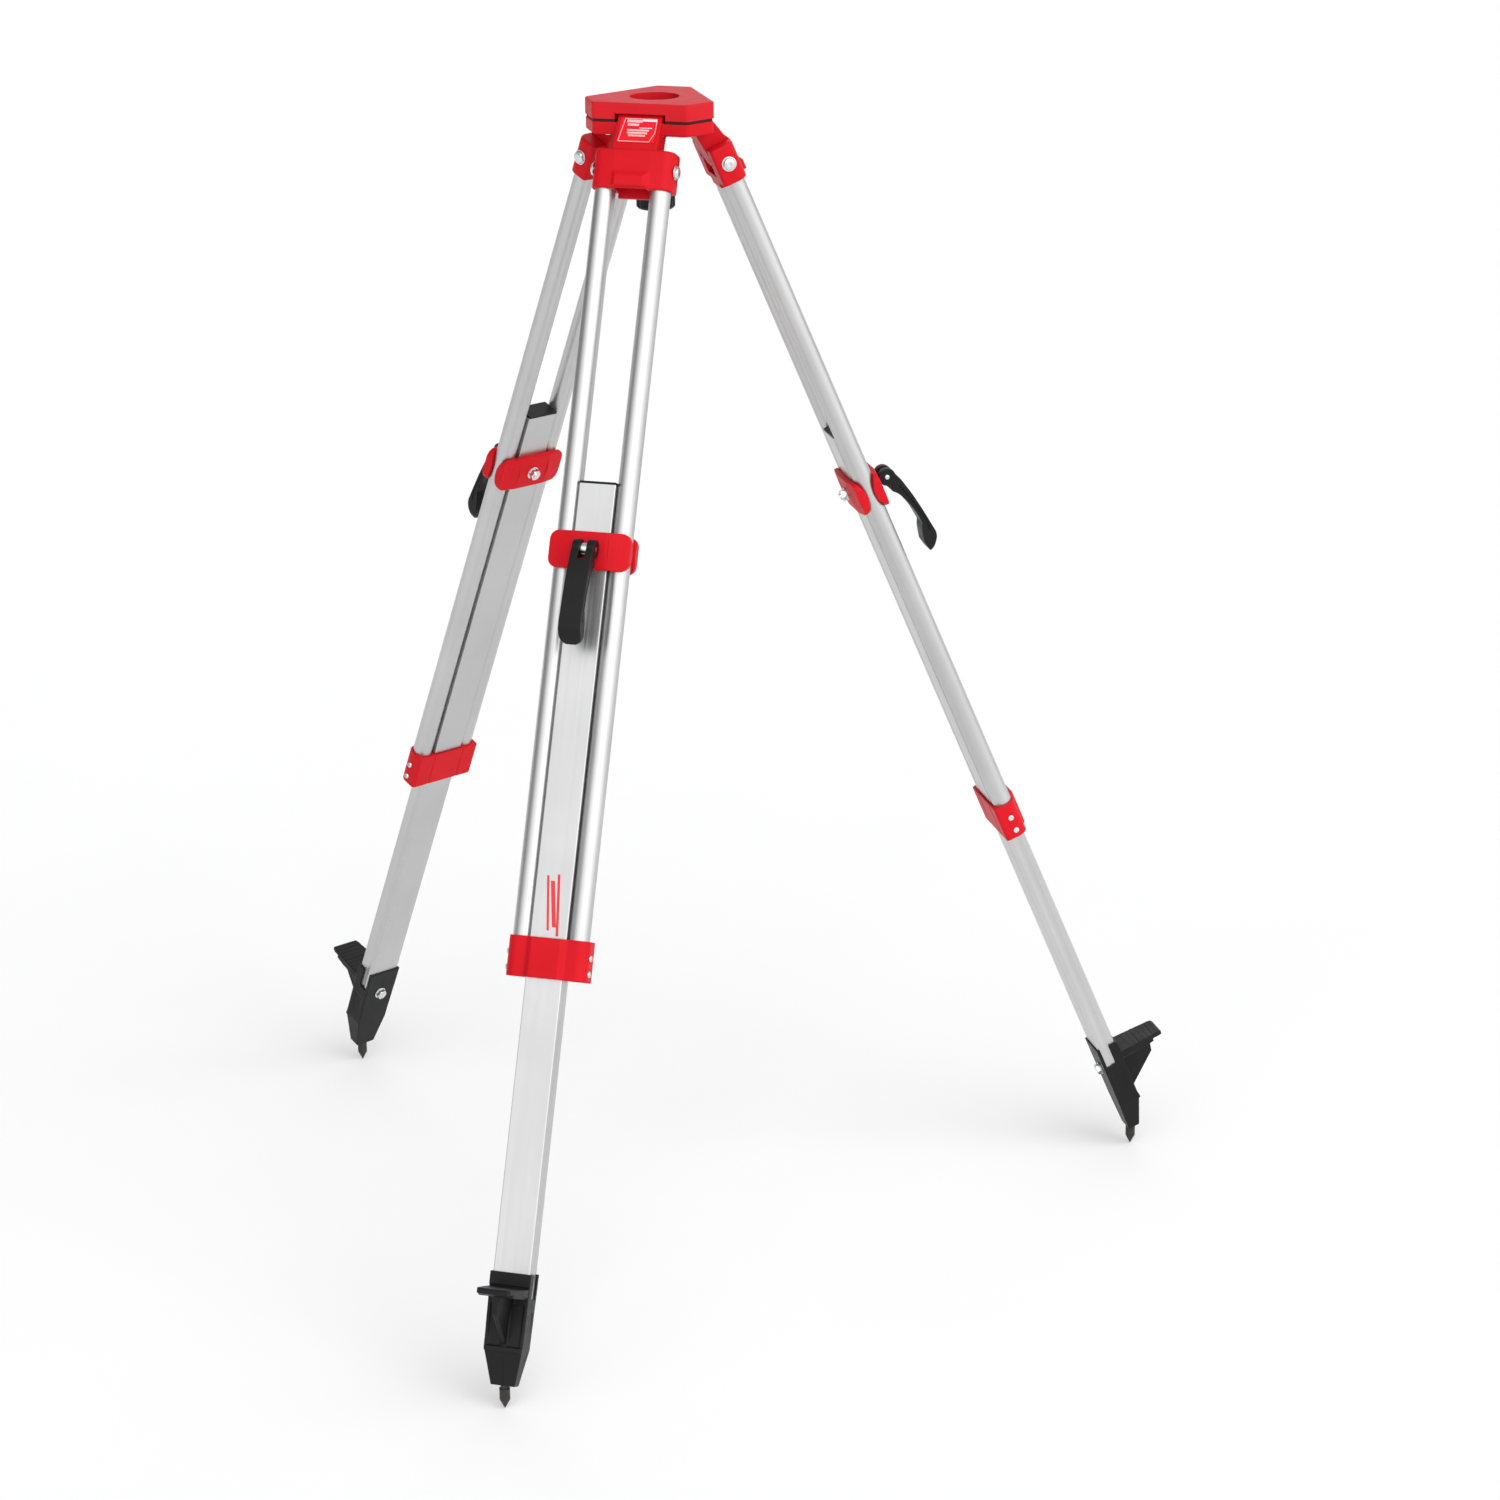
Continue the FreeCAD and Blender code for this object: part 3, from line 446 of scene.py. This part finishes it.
zinc = plated("zinc", ZINC, ZINC_DARK, 0.27)
dark_steel = plated("dark_steel", STEEL, STEEL_DARK, 0.45, metallic=0.8)
aluminium = {
    name: extruded(f"aluminium_{name}", ALUMINIUM, ALUMINIUM_DARK, 0.36, matrix, 0.0004)
    for name, matrix in leg_frames.items()
}


# ---------------------------------------------------------------- placing

def dress_node(node, material):
    mesh_object = frame["nodes"][node]
    mesh_object.data.materials.clear()
    mesh_object.data.materials.append(material)


def place(name, mesh, body, material, matrix=HEAD, stands_for=()):
    """Put a copy of a finished shape, moved out of its own frame, on its CAD body."""
    shape = mesh.copy()
    shape.transform(matrix)
    shape.materials.append(material)
    piece = bpy.data.objects.new(name, shape)
    bpy.context.scene.collection.objects.link(piece)
    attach(piece, body)
    if stands_for:
        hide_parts(*stands_for)
    return piece


def in_metres(mesh):
    mesh.transform(Matrix.Scale(MM, 4))
    return mesh


def on_each_leg(name, mesh, body, material, stands_for=""):
    """The same shape on all three legs."""
    in_metres(mesh)
    for leg in LEGS:
        nodes = (f"{stands_for}_{leg}",) if stands_for else ()
        place(f"{name}_{leg}", mesh, f"{body}_{leg}", material, leg_frames[leg], nodes)


# ---------------------------------------------------------------- head

def make_head():
    dress_node("head_cover", red_cover)
    dress_node("head_gasket", rubber)
    dress_node("hinge_bushes", black_plain)
    dress_node("label_plate", label_red)
    for node in ("arm_pivot", "fixing_arm", "thrust_washer"):
        dress_node(node, zinc)
    dress_node("slider_bush", black_plain)
    plate = moulded(cad_shape("head_plate"), 0.8, 6, 0.3)
    place("head_casting", in_metres(plate), "head", red_cast, stands_for=("head_plate",))
    knob = moulded(cad_shape("fixing_knob"), 0.5, 6, 0.3)
    in_metres(knob)
    place("fluted_knob", knob, "screw", black_moulded, stands_for=("fixing_knob",))
    make_head_screws()
    make_screw_thread()
    make_label()


def screw_head(axis, centre, base, radius, height, out, slot=0.9):
    """A domed screw head with a crossed recess."""
    rise = [(0.0, 1.0), (0.35, 1.0), (0.7, 0.88), (0.9, 0.68), (1.0, 0.4)]
    head = lathe(axis, centre, [(base + out * height * a, radius * b) for a, b in rise], 32)
    top = base + out * height * 1.1
    floor = base + out * height * 0.45
    low, high = min(top, floor), max(top, floor)
    a, b = centre
    reach, half = radius * 0.55, slot / 2
    cuts = [prism(axis, low, high, box(a - reach, a + reach, b - half, b + half)),
            prism(axis, low, high, box(a - half, a + half, b - reach, b + reach))]
    return combined(head, cut=cuts)


def make_head_screws():
    low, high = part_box("head_screws")
    base = low.z / MM + 3.5
    places = [Vector((side * 46.0, -40.5, 0.0)) for side in (-1, 1)]
    heads = []
    for turn in (0, 120, 240):
        for place_at in places:
            spot = Matrix.Rotation(math.radians(turn), 3, "Z") @ place_at
            heads.append(screw_head("Z", (spot.x, spot.y), base, 4.5, 3.4, -1.0))
            heads.append(prism("Z", base - 0.1, high.z / MM, disc(spot.x, spot.y, 2.1, 24)))
    screws = in_metres(joined(*heads))
    place("cover_screws", screws, "head", zinc, stands_for=("head_screws",))


def make_screw_thread():
    """The 5/8 inch fixing screw with its eleven threads to the inch."""
    low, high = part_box("fixing_screw")
    bottom, top = low.z / MM, high.z / MM
    start, pitch, outer, root, steps = top - 21.0, 25.4 / 11, 7.9, 6.5, 40
    rings = [[(5.95 * math.cos(t), 5.95 * math.sin(t), z) for t in
              [2 * math.pi * i / steps for i in range(steps)]] for z in (bottom, start - 0.5)]
    rows = int((top - start) / 0.24)
    for row in range(rows + 1):
        z = start + (top - start) * row / rows
        taper = min(1.0, (top - z) / 1.6 * 0.8 + 0.2, (z - start) / 2.0)
        ring = []
        for i in range(steps):
            turn = 2 * math.pi * i / steps
            wave = abs((z / pitch - i / steps) % 1.0 - 0.5) * 2
            radius = root + (outer - root) * min(1.0, wave * 1.25) * taper
            ring.append((radius * math.cos(turn), radius * math.sin(turn), z))
        rings.append(ring)
    thread = joined(loft(rings))
    place("threaded_screw", in_metres(thread), "screw", zinc, stands_for=("fixing_screw",))


def label_frame():
    """The label plate's face: X across, Y up its slope, Z out of it."""
    points = [vertex.co for vertex in frame["nodes"]["label_plate"].data.vertices]
    low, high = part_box("label_plate")
    top = max(points, key=lambda p: p.z - 0.001 * p.y)
    bottom = min(points, key=lambda p: p.y + 0.001 * p.z)
    slope = Vector((0.0, top.y - bottom.y, top.z - bottom.z)).normalized()
    out = Vector((1.0, 0.0, 0.0)).cross(slope)
    middle = Vector(((low.x + high.x) / 2, (top.y + bottom.y) / 2, (top.z + bottom.z) / 2))
    matrix = Matrix(((1.0, 0.0, 0.0), slope, out)).transposed().to_4x4()
    matrix.translation = middle
    return matrix


def make_label():
    """Printed frame and plain bars on the label, with no lettering."""
    matrix = label_frame()

    def line(points, width):
        strips = []
        for (x0, y0), (x1, y1) in zip(points, points[1:]):
            along = Vector((x1 - x0, y1 - y0)).normalized()
            side = Vector((-along.y, along.x)) * width / 2
            start = Vector((x0, y0)) - along * width / 2
            end = Vector((x1, y1)) + along * width / 2
            outline = [tuple(start - side), tuple(end - side), tuple(end + side), tuple(start + side)]
            strips.append(prism("Z", -0.2, 0.12, outline))
        return strips

    border = [(-17.5, 15.2), (21.8, 15.2), (21.8, -3.5), (16.5, -15.2), (-22.0, -15.2), (-17.5, 15.2)]
    bars = [
        (-15.0, 4.0, 10.0, 13.8),
        (-13.5, 0.5, 5.5, 8.6),
        (-13.0, 14.0, -1.4, 1.0),
        (-12.5, 12.5, -5.0, -2.6),
        (-10.5, 10.5, -8.4, -6.2),
    ]
    pale = line(border, 0.9)
    pale += [prism("Z", -0.2, 0.12, box(*bar)) for bar in bars]
    white = line([(5.5, 13.2), (20.6, 13.2)], 2.6) + line([(2.0, 3.0), (17.0, 3.0)], 0.9)
    place("label_print", in_metres(joined(*pale)), "head", label_pale, matrix)
    place("label_bars", in_metres(joined(*white)), "head", label_white, matrix)


# ---------------------------------------------------------------- upper leg

def make_upper_leg():
    shoulder = moulded(leg_shape("shoulder"), 0.75, 7, 0.3)
    on_each_leg("shoulder_casting", shoulder, "upper", red_cast, "shoulder")
    grooves = []
    for x in (-24.0, 24.0):
        grooves.append(prism("Z", -962.0, -911.0, [(x - 1.6, 16.4), (x + 1.6, 16.4), (x, 14.5)]))
    block = prism("Z", -960.1, -912.9, [(-25.5, -13.5), (-18.0, -19.7), (18.0, -19.7), (25.5, -13.5)])
    collar = moulded(combined(leg_shape("collar"), added=[block], cut=grooves), 0.75, 6, 0.3)
    on_each_leg("collar_casting", collar, "upper", red_cast, "collar")
    make_hinge_bolt()
    make_collar_screws()


def nut(axis, centre, low, high, flats):
    """A hexagon nut with its corners chamfered round both faces."""
    reach = flats / math.sqrt(3)
    cut = flats * 0.09
    round_part = lathe(axis, centre, [(low, flats / 2 * 0.98), (low + cut, reach * 1.01),
                                      (high - cut, reach * 1.01), (high, flats / 2 * 0.98)])
    return combined(prism(axis, low, high, hexagon(*centre, flats)), shared=[round_part])


def make_hinge_bolt():
    """Domed bolt head with a hexagon socket, plain washers, and a lock nut with its ring."""
    end = CASTING_HALF
    centre = (0.0, 0.0)
    rise = ((1.0, 7.5), (2.2, 7.45), (3.3, 6.7), (4.0, 5.3), (4.4, 3.4))
    dome = [(-end - out, radius) for out, radius in rise]
    head = combined(lathe("X", centre, dome), cut=[prism("X", -end - 5, -end - 2.2, hexagon(0, 0, 4.6))])
    shank = lathe("X", centre, [(-end - 1.2, 4.95), (end + 4.2, 4.95), (end + 4.6, 4.4)])
    washers = []
    for side in (-1, 1):
        edges = sorted((side * end, side * (end + 0.97)))
        washers.append(lathe("X", centre, [(edges[0], 8.7), (edges[0] + 0.2, 9.0),
                                           (edges[1] - 0.2, 9.0), (edges[1], 8.7)]))
    lock = nut("X", centre, end + 0.97, end + 4.0, 14.0)
    ring = lathe("X", centre, [(end + 3.6, 6.6), (end + 4.3, 6.3), (end + 4.55, 5.2)])
    bolt = joined(head, shank, *washers, lock, ring)
    on_each_leg("hinge_bolt", bolt, "upper", zinc, "hinge_fasteners")


def make_collar_screws():
    parts = []
    for side in (-1, 1):
        for level in COLLAR_SCREWS:
            parts.append(screw_head("X", (0.0, level), side * (CASTING_HALF - 0.1), 3.9, 2.3, side))
            shank = sorted((side * 43.0, side * CASTING_HALF))
            parts.append(prism("X", *shank, disc(0.0, level, 1.95, 20)))
    on_each_leg("collar_screw_heads", joined(*parts), "upper", zinc, "collar_screws")


# ---------------------------------------------------------------- clamp and lever

def jaw(side):
    """One jaw: a plate hollowed for both tubes, crowned on the outer side, with lens-shaped ends."""
    back = -4.5 if side < 0 else 5.5
    face = 21.0 * side
    tall, half = 22.3, CASTING_HALF
    outline = rounded_box(-half, half, CLAMP - tall, CLAMP + tall, 11.0)
    plate = prism("Y", *sorted((face, back)), outline)
    seats = [disc(x, 0.0, 12.85, 64) for x in (-TUBE_OFFSET, TUBE_OFFSET)]
    cuts = [prism("Z", CLAMP - 24, CLAMP + 24, seat) for seat in seats]
    cuts.append(prism("Z", CLAMP - 24, CLAMP + 24, box(-27.5, 27.5, -12.6, 12.6)))
    cuts.append(prism("Y", -22, 22, disc(0.0, CLAMP, 4.25, 32)))
    for hand in (-1, 1):
        past = (half + 1) * hand
        fall = [(16.0 * hand, face + side), (past, face + side), (past, 17.0 * side)]
        cuts.append(prism("Z", CLAMP - 24, CLAMP + 24, fall))
        bite = []
        for step in range(9):
            along = -1 + step / 4
            bite.append((back + (face - back) * 0.55 * along**2, CLAMP + 23.5 * along))
        bite += [(back - 30 * side, CLAMP + 23.5), (back - 30 * side, CLAMP - 23.5)]
        cuts.append(prism("X", *sorted((hand * 36.0, hand * 52.0)), bite))
    mesh = moulded(combined(plate, cut=cuts), 0.6, 7, 0.3)
    for vertex in mesh.vertices:
        depth = (abs(vertex.co.y) - 9.0) / 12.0
        if depth > 0 and vertex.co.y * side > 0:
            fall = 1.2 * ((vertex.co.z - CLAMP) / tall) ** 2
            vertex.co.y -= side * fall * min(depth, 1.0)
    return mesh


def make_clamp():
    on_each_leg("clamp_jaw_outer", jaw(-1), "lower", red_cast, "clamp_outer")
    on_each_leg("clamp_jaw_inner", jaw(1), "lower", red_cast, "clamp_inner")
    washer = lathe("Y", (0.0, CLAMP), [(21.0, 8.1), (21.2, 8.5), (22.2, 8.5), (22.4, 8.1)])
    clamp_nut = nut("Y", (0.0, CLAMP), 22.4, 29.0, 13.0)
    on_each_leg("clamp_lock_nut", joined(washer, clamp_nut), "lower", zinc, "clamp_nut")
    make_cam_lever()


def make_cam_lever():
    """Forked cam head, broad curved arm with a groove down each side, and a thumb pad."""
    out_at, level = -32.3, CLAMP
    half = 13.5

    def placed(points):
        """Points given as (down, out) from the pin."""
        return [(out_at + out, level - down) for down, out in points]

    inner = [
        (7.6, -7.5), (17.5, 1.2), (26.0, -4.8), (36.5, -10.0), (55.0, -15.6), (75.0, -18.2, 0),
        (83.0, -14.6), (99.5, -11.0, 0), (110.0, -13.2), (115.4, -15.2, 0),
    ]
    outer = [
        (115.4, -15.2, 0), (110.0, -21.0), (100.0, -28.4), (92.5, -30.0, 0), (63.0, -25.9),
        (38.0, -21.6), (20.0, -17.4), (9.8, -14.7), (0.0, -10.8),
    ]
    around = curve_through(inner) + curve_through(outer)[1:] + [(2.0, -2.0)]
    arm = prism("X", -half, half, placed(around))
    head = prism("X", -half, half, disc(out_at, level, 11.0))
    fork = box(out_at - 20, out_at + 12, level - 14, level + 12)
    cuts = [prism("X", -4.2, 4.2, fork), prism("X", -half - 1, half + 1, disc(out_at, level, 3.05, 32))]
    middle = curve_through([(16.0, -8.6), (38.0, -15.6), (57.0, -20.2), (76.0, -23.4), (89.0, -22.4)])
    groove = [(down, out - 1.2) for down, out in middle]
    groove += [(down, out + 1.2) for down, out in reversed(middle)]
    cuts.append(prism("X", half - 1.3, half + 1, placed(groove)))
    cuts.append(prism("X", -half - 1, 1.3 - half, placed(groove)))
    end = level - 115.5
    round_radius = 10.5
    for side in (-1, 1):
        corner = [(side * (half + 3), end + round_radius), (side * half, end + round_radius)]
        for step in range(1, 9):
            turn = math.pi / 2 * step / 8
            corner.append((side * (half - round_radius + round_radius * math.cos(turn)),
                           end + round_radius - round_radius * math.sin(turn)))
        corner += [(side * (half - round_radius), end - 4), (side * (half + 3), end - 4)]
        cuts.append(prism("Y", -75, -20, corner))
    lever = moulded(combined(arm, added=[head], cut=cuts), 0.5, 5, 0.3)
    on_each_leg("cam_lever", lever, "lever", black_moulded, "lever")
    ends = half - 0.1
    profile = [(-ends, 2.2), (0.3 - ends, 2.95), (ends - 0.3, 2.95), (ends, 2.2)]
    pin = lathe("X", (out_at, level), profile, 32)
    on_each_leg("lever_pivot", joined(pin), "lever", zinc, "lever_pin")


# ---------------------------------------------------------------- lower leg

def make_lower_leg():
    for leg in LEGS:
        dress_node(f"tubes_{leg}", aluminium[leg])
        dress_node(f"extension_{leg}", aluminium[leg])
        dress_node(f"end_cap_{leg}", black_plain)
        dress_node(f"clamp_bolt_{leg}", zinc)
        dress_node(f"spike_{leg}", dark_steel)
    make_foot()
    make_mark()


def make_foot():
    """The shoe: recessed panels, a ribbed step with its gusset, and a tapering toe."""
    cuts = []
    for side in (-1, 1):
        panel = [(4.0, -1338.0), (20.5, -1338.0), (19.5, -1387.0), (3.0, -1387.0)]
        cuts.append(prism("Y", -16.5, -13.4, [(side * x, z) for x, z in panel]))
        flank = [(-8.0, -1346.0), (8.0, -1346.0), (9.5, -1384.0), (-5.0, -1384.0)]
        cuts.append(prism("X", *sorted((side * 23.6, side * 28.0)), flank))
        under_step = [(-16.0, -1328.5), (-58.0, -1325.0), (-58.0, -1327.6), (-16.0, -1332.0)]
        cuts.append(prism("X", *sorted((side * 22.6, side * 28.0)), under_step))
    for out in (28.0, 35.0, 42.0, 49.0, 56.0, 63.0, 70.0):
        rib_gap = [(-out, -1319.8), (-out - 1.6, -1318.0), (-out + 1.6, -1318.0)]
        cuts.append(prism("X", -26.0, 26.0, rib_gap))
    arch = [(-26.0, -1340.0)] + [(x, -1322.5 - 6.0 * (1 - (x / 26.0) ** 2)) for x in range(-26, 27, 4)]
    cuts.append(prism("Y", -80.0, -62.0, arch + [(26.0, -1340.0)]))
    web = loft([
        [(-8.0, -13.0, -1329.0), (8.0, -13.0, -1329.0), (6.0, -60.0, -1324.0), (-6.0, -60.0, -1324.0)],
        [(-6.5, -13.0, -1345.0), (6.5, -13.0, -1345.0), (3.2, -54.0, -1345.0), (-3.2, -54.0, -1345.0)],
        [(-2.0, -13.0, -1386.0), (2.0, -13.0, -1386.0), (1.5, -18.5, -1382.0), (-1.5, -18.5, -1382.0)],
    ])
    lip = prism("Z", -1317.0, -1302.3, rounded_box(-25.2, 25.2, -15.6, -12.6, 1.0))
    rim = prism("Z", -1393.0, -1387.5, rounded_box(-23.4, 23.4, -15.8, -12.0, 1.2))
    seam = prism("X", -0.9, 0.9, [(-15.5, -1393.5), (-13.0, -1393.5), (0.6, -1434.0), (-2.5, -1434.0)])
    shoe = moulded(combined(leg_shape("foot"), added=[lip, web, rim], cut=cuts + [seam]), 0.6, 5, 0.3)
    on_each_leg("foot_moulding", shoe, "lower", black_moulded, "foot")
    centre = (0.0, FOOT_BOLT)
    shank = lathe("Y", centre, [(-12.6, 3.9), (15.0, 3.9)])
    washer = lathe("Y", centre, [(14.6, 8.1), (14.8, 8.5), (15.8, 8.5), (16.0, 8.1)])
    head = nut("Y", centre, 16.0, 21.3, 13.0)
    on_each_leg("foot_bolt_set", joined(shank, washer, head), "lower", zinc, "foot_bolt")


def make_mark():
    """A plain printed mark on the front leg's extension: slanting bars, no lettering."""
    bars = (
        (-9.5, -3.0, 2.8, -840.0, -904.0),
        (-4.2, 3.0, 5.0, -846.0, -900.0),
        (3.4, 8.8, 3.2, -838.0, -910.0),
    )
    strips = []
    for above, below, width, high, low in bars:
        outline = [(below, low), (below + width, low), (above + width, high), (above, high)]
        strips.append(prism("Y", -12.62, -12.4, outline))
    mark = in_metres(joined(*strips))
    place("printed_mark_front", mark, "lower_front", mark_red, leg_frames["front"])


# ---------------------------------------------------------------- studio

def make_floor():
    """A wide pale floor just under the points."""
    bottom = cad_low.z
    mesh = bpy.data.meshes.new("floor")
    half = 1500.0
    mesh.from_pydata([(x, y, bottom) for x, y in box(-half, half, -half, half)], [], [(0, 1, 2, 3)])
    material, tree, surface = shader("floor_paint", 0.0)
    where = object_place(tree)
    tone = blend_colours(tree, noise(tree, where, 3.0, 2.0), (0.87, 0.87, 0.87), (0.89, 0.89, 0.89))
    tree.links.new(tone, surface.inputs["Base Color"])
    surface.inputs["Roughness"].default_value = 0.9
    mesh.materials.append(material)
    floor = bpy.data.objects.new("floor", mesh)
    bpy.context.scene.collection.objects.link(floor)


def make_sun(name, direction, softness, power):
    """A distant soft light that shines along a direction."""
    lamp = bpy.data.lights.new(name, "SUN")
    lamp.angle = math.radians(softness)
    lamp.energy = power
    rig = bpy.data.objects.new(name, lamp)
    rig.rotation_mode = "QUATERNION"
    rig.rotation_quaternion = Vector(direction).to_track_quat("-Z", "Y")
    bpy.context.scene.collection.objects.link(rig)


def make_studio():
    """White surroundings, darker on the left of the view, and one broad distant lamp."""
    scene = bpy.context.scene
    scene.view_settings.view_transform = "Standard"
    world = bpy.data.worlds.new("studio")
    scene.world = world
    world.use_nodes = True
    tree = world.node_tree
    parts = add_node(tree, "ShaderNodeSeparateXYZ")
    tree.links.new(add_node(tree, "ShaderNodeTexCoord").outputs["Generated"], parts.inputs[0])
    turn = add_node(tree, "ShaderNodeMath", operation="ARCTAN2")
    tree.links.new(parts.outputs["Y"], turn.inputs[0])
    tree.links.new(parts.outputs["X"], turn.inputs[1])
    ramp = add_node(tree, "ShaderNodeValToRGB")
    ramp.color_ramp.interpolation = "EASE"
    tree.links.new(between(tree, turn.outputs["Value"], 0.0, 1.0, -math.pi, math.pi), ramp.inputs["Fac"])
    stops = ramp.color_ramp.elements
    while len(stops) < len(SURROUND):
        stops.new(0.5)
    for stop, (bearing, level) in zip(stops, SURROUND):
        stop.position = (bearing + 180.0) / 360.0
        stop.color = (level, level, level * 1.01, 1.0)
    height = between(tree, parts.outputs["Z"], 0.0, 1.0, 0.65, 0.98)
    tone = blend_colours(tree, height, ramp.outputs["Color"], (0.45, 0.45, 0.46))
    back = tree.nodes["Background"]
    tree.links.new(tone, back.inputs["Color"])
    make_sun("key_light", (-0.45, 0.45, -0.75), 60.0, 1.15)
    make_sun("side_light", (-0.90, 0.15, -0.38), 70.0, 0.5)


def make_camera():
    """The photograph's view: a long lens from the front right, a little above the head."""
    forward = Vector((-0.26681, 0.91284, -0.30899)).normalized()
    level = forward.cross(Vector((0.0, 0.0, 1.0))).normalized()
    up = level.cross(forward)
    roll = Matrix.Rotation(math.radians(0.29), 3, forward)
    right, above = roll @ level, roll @ up
    lens = bpy.data.cameras.new("camera")
    lens.sensor_width = 36.0
    lens.lens = 97.5
    lens.clip_start, lens.clip_end = 0.1, 3000.0
    camera = bpy.data.objects.new("camera", lens)
    matrix = Matrix((right, above, -forward)).transposed().to_4x4()
    matrix.translation = Vector((1.46973, -4.63535, 0.7566))
    camera.matrix_world = matrix
    bpy.context.scene.collection.objects.link(camera)
    bpy.context.scene.camera = camera


make_head()
make_upper_leg()
make_clamp()
make_lower_leg()
make_floor()
make_studio()
make_camera()
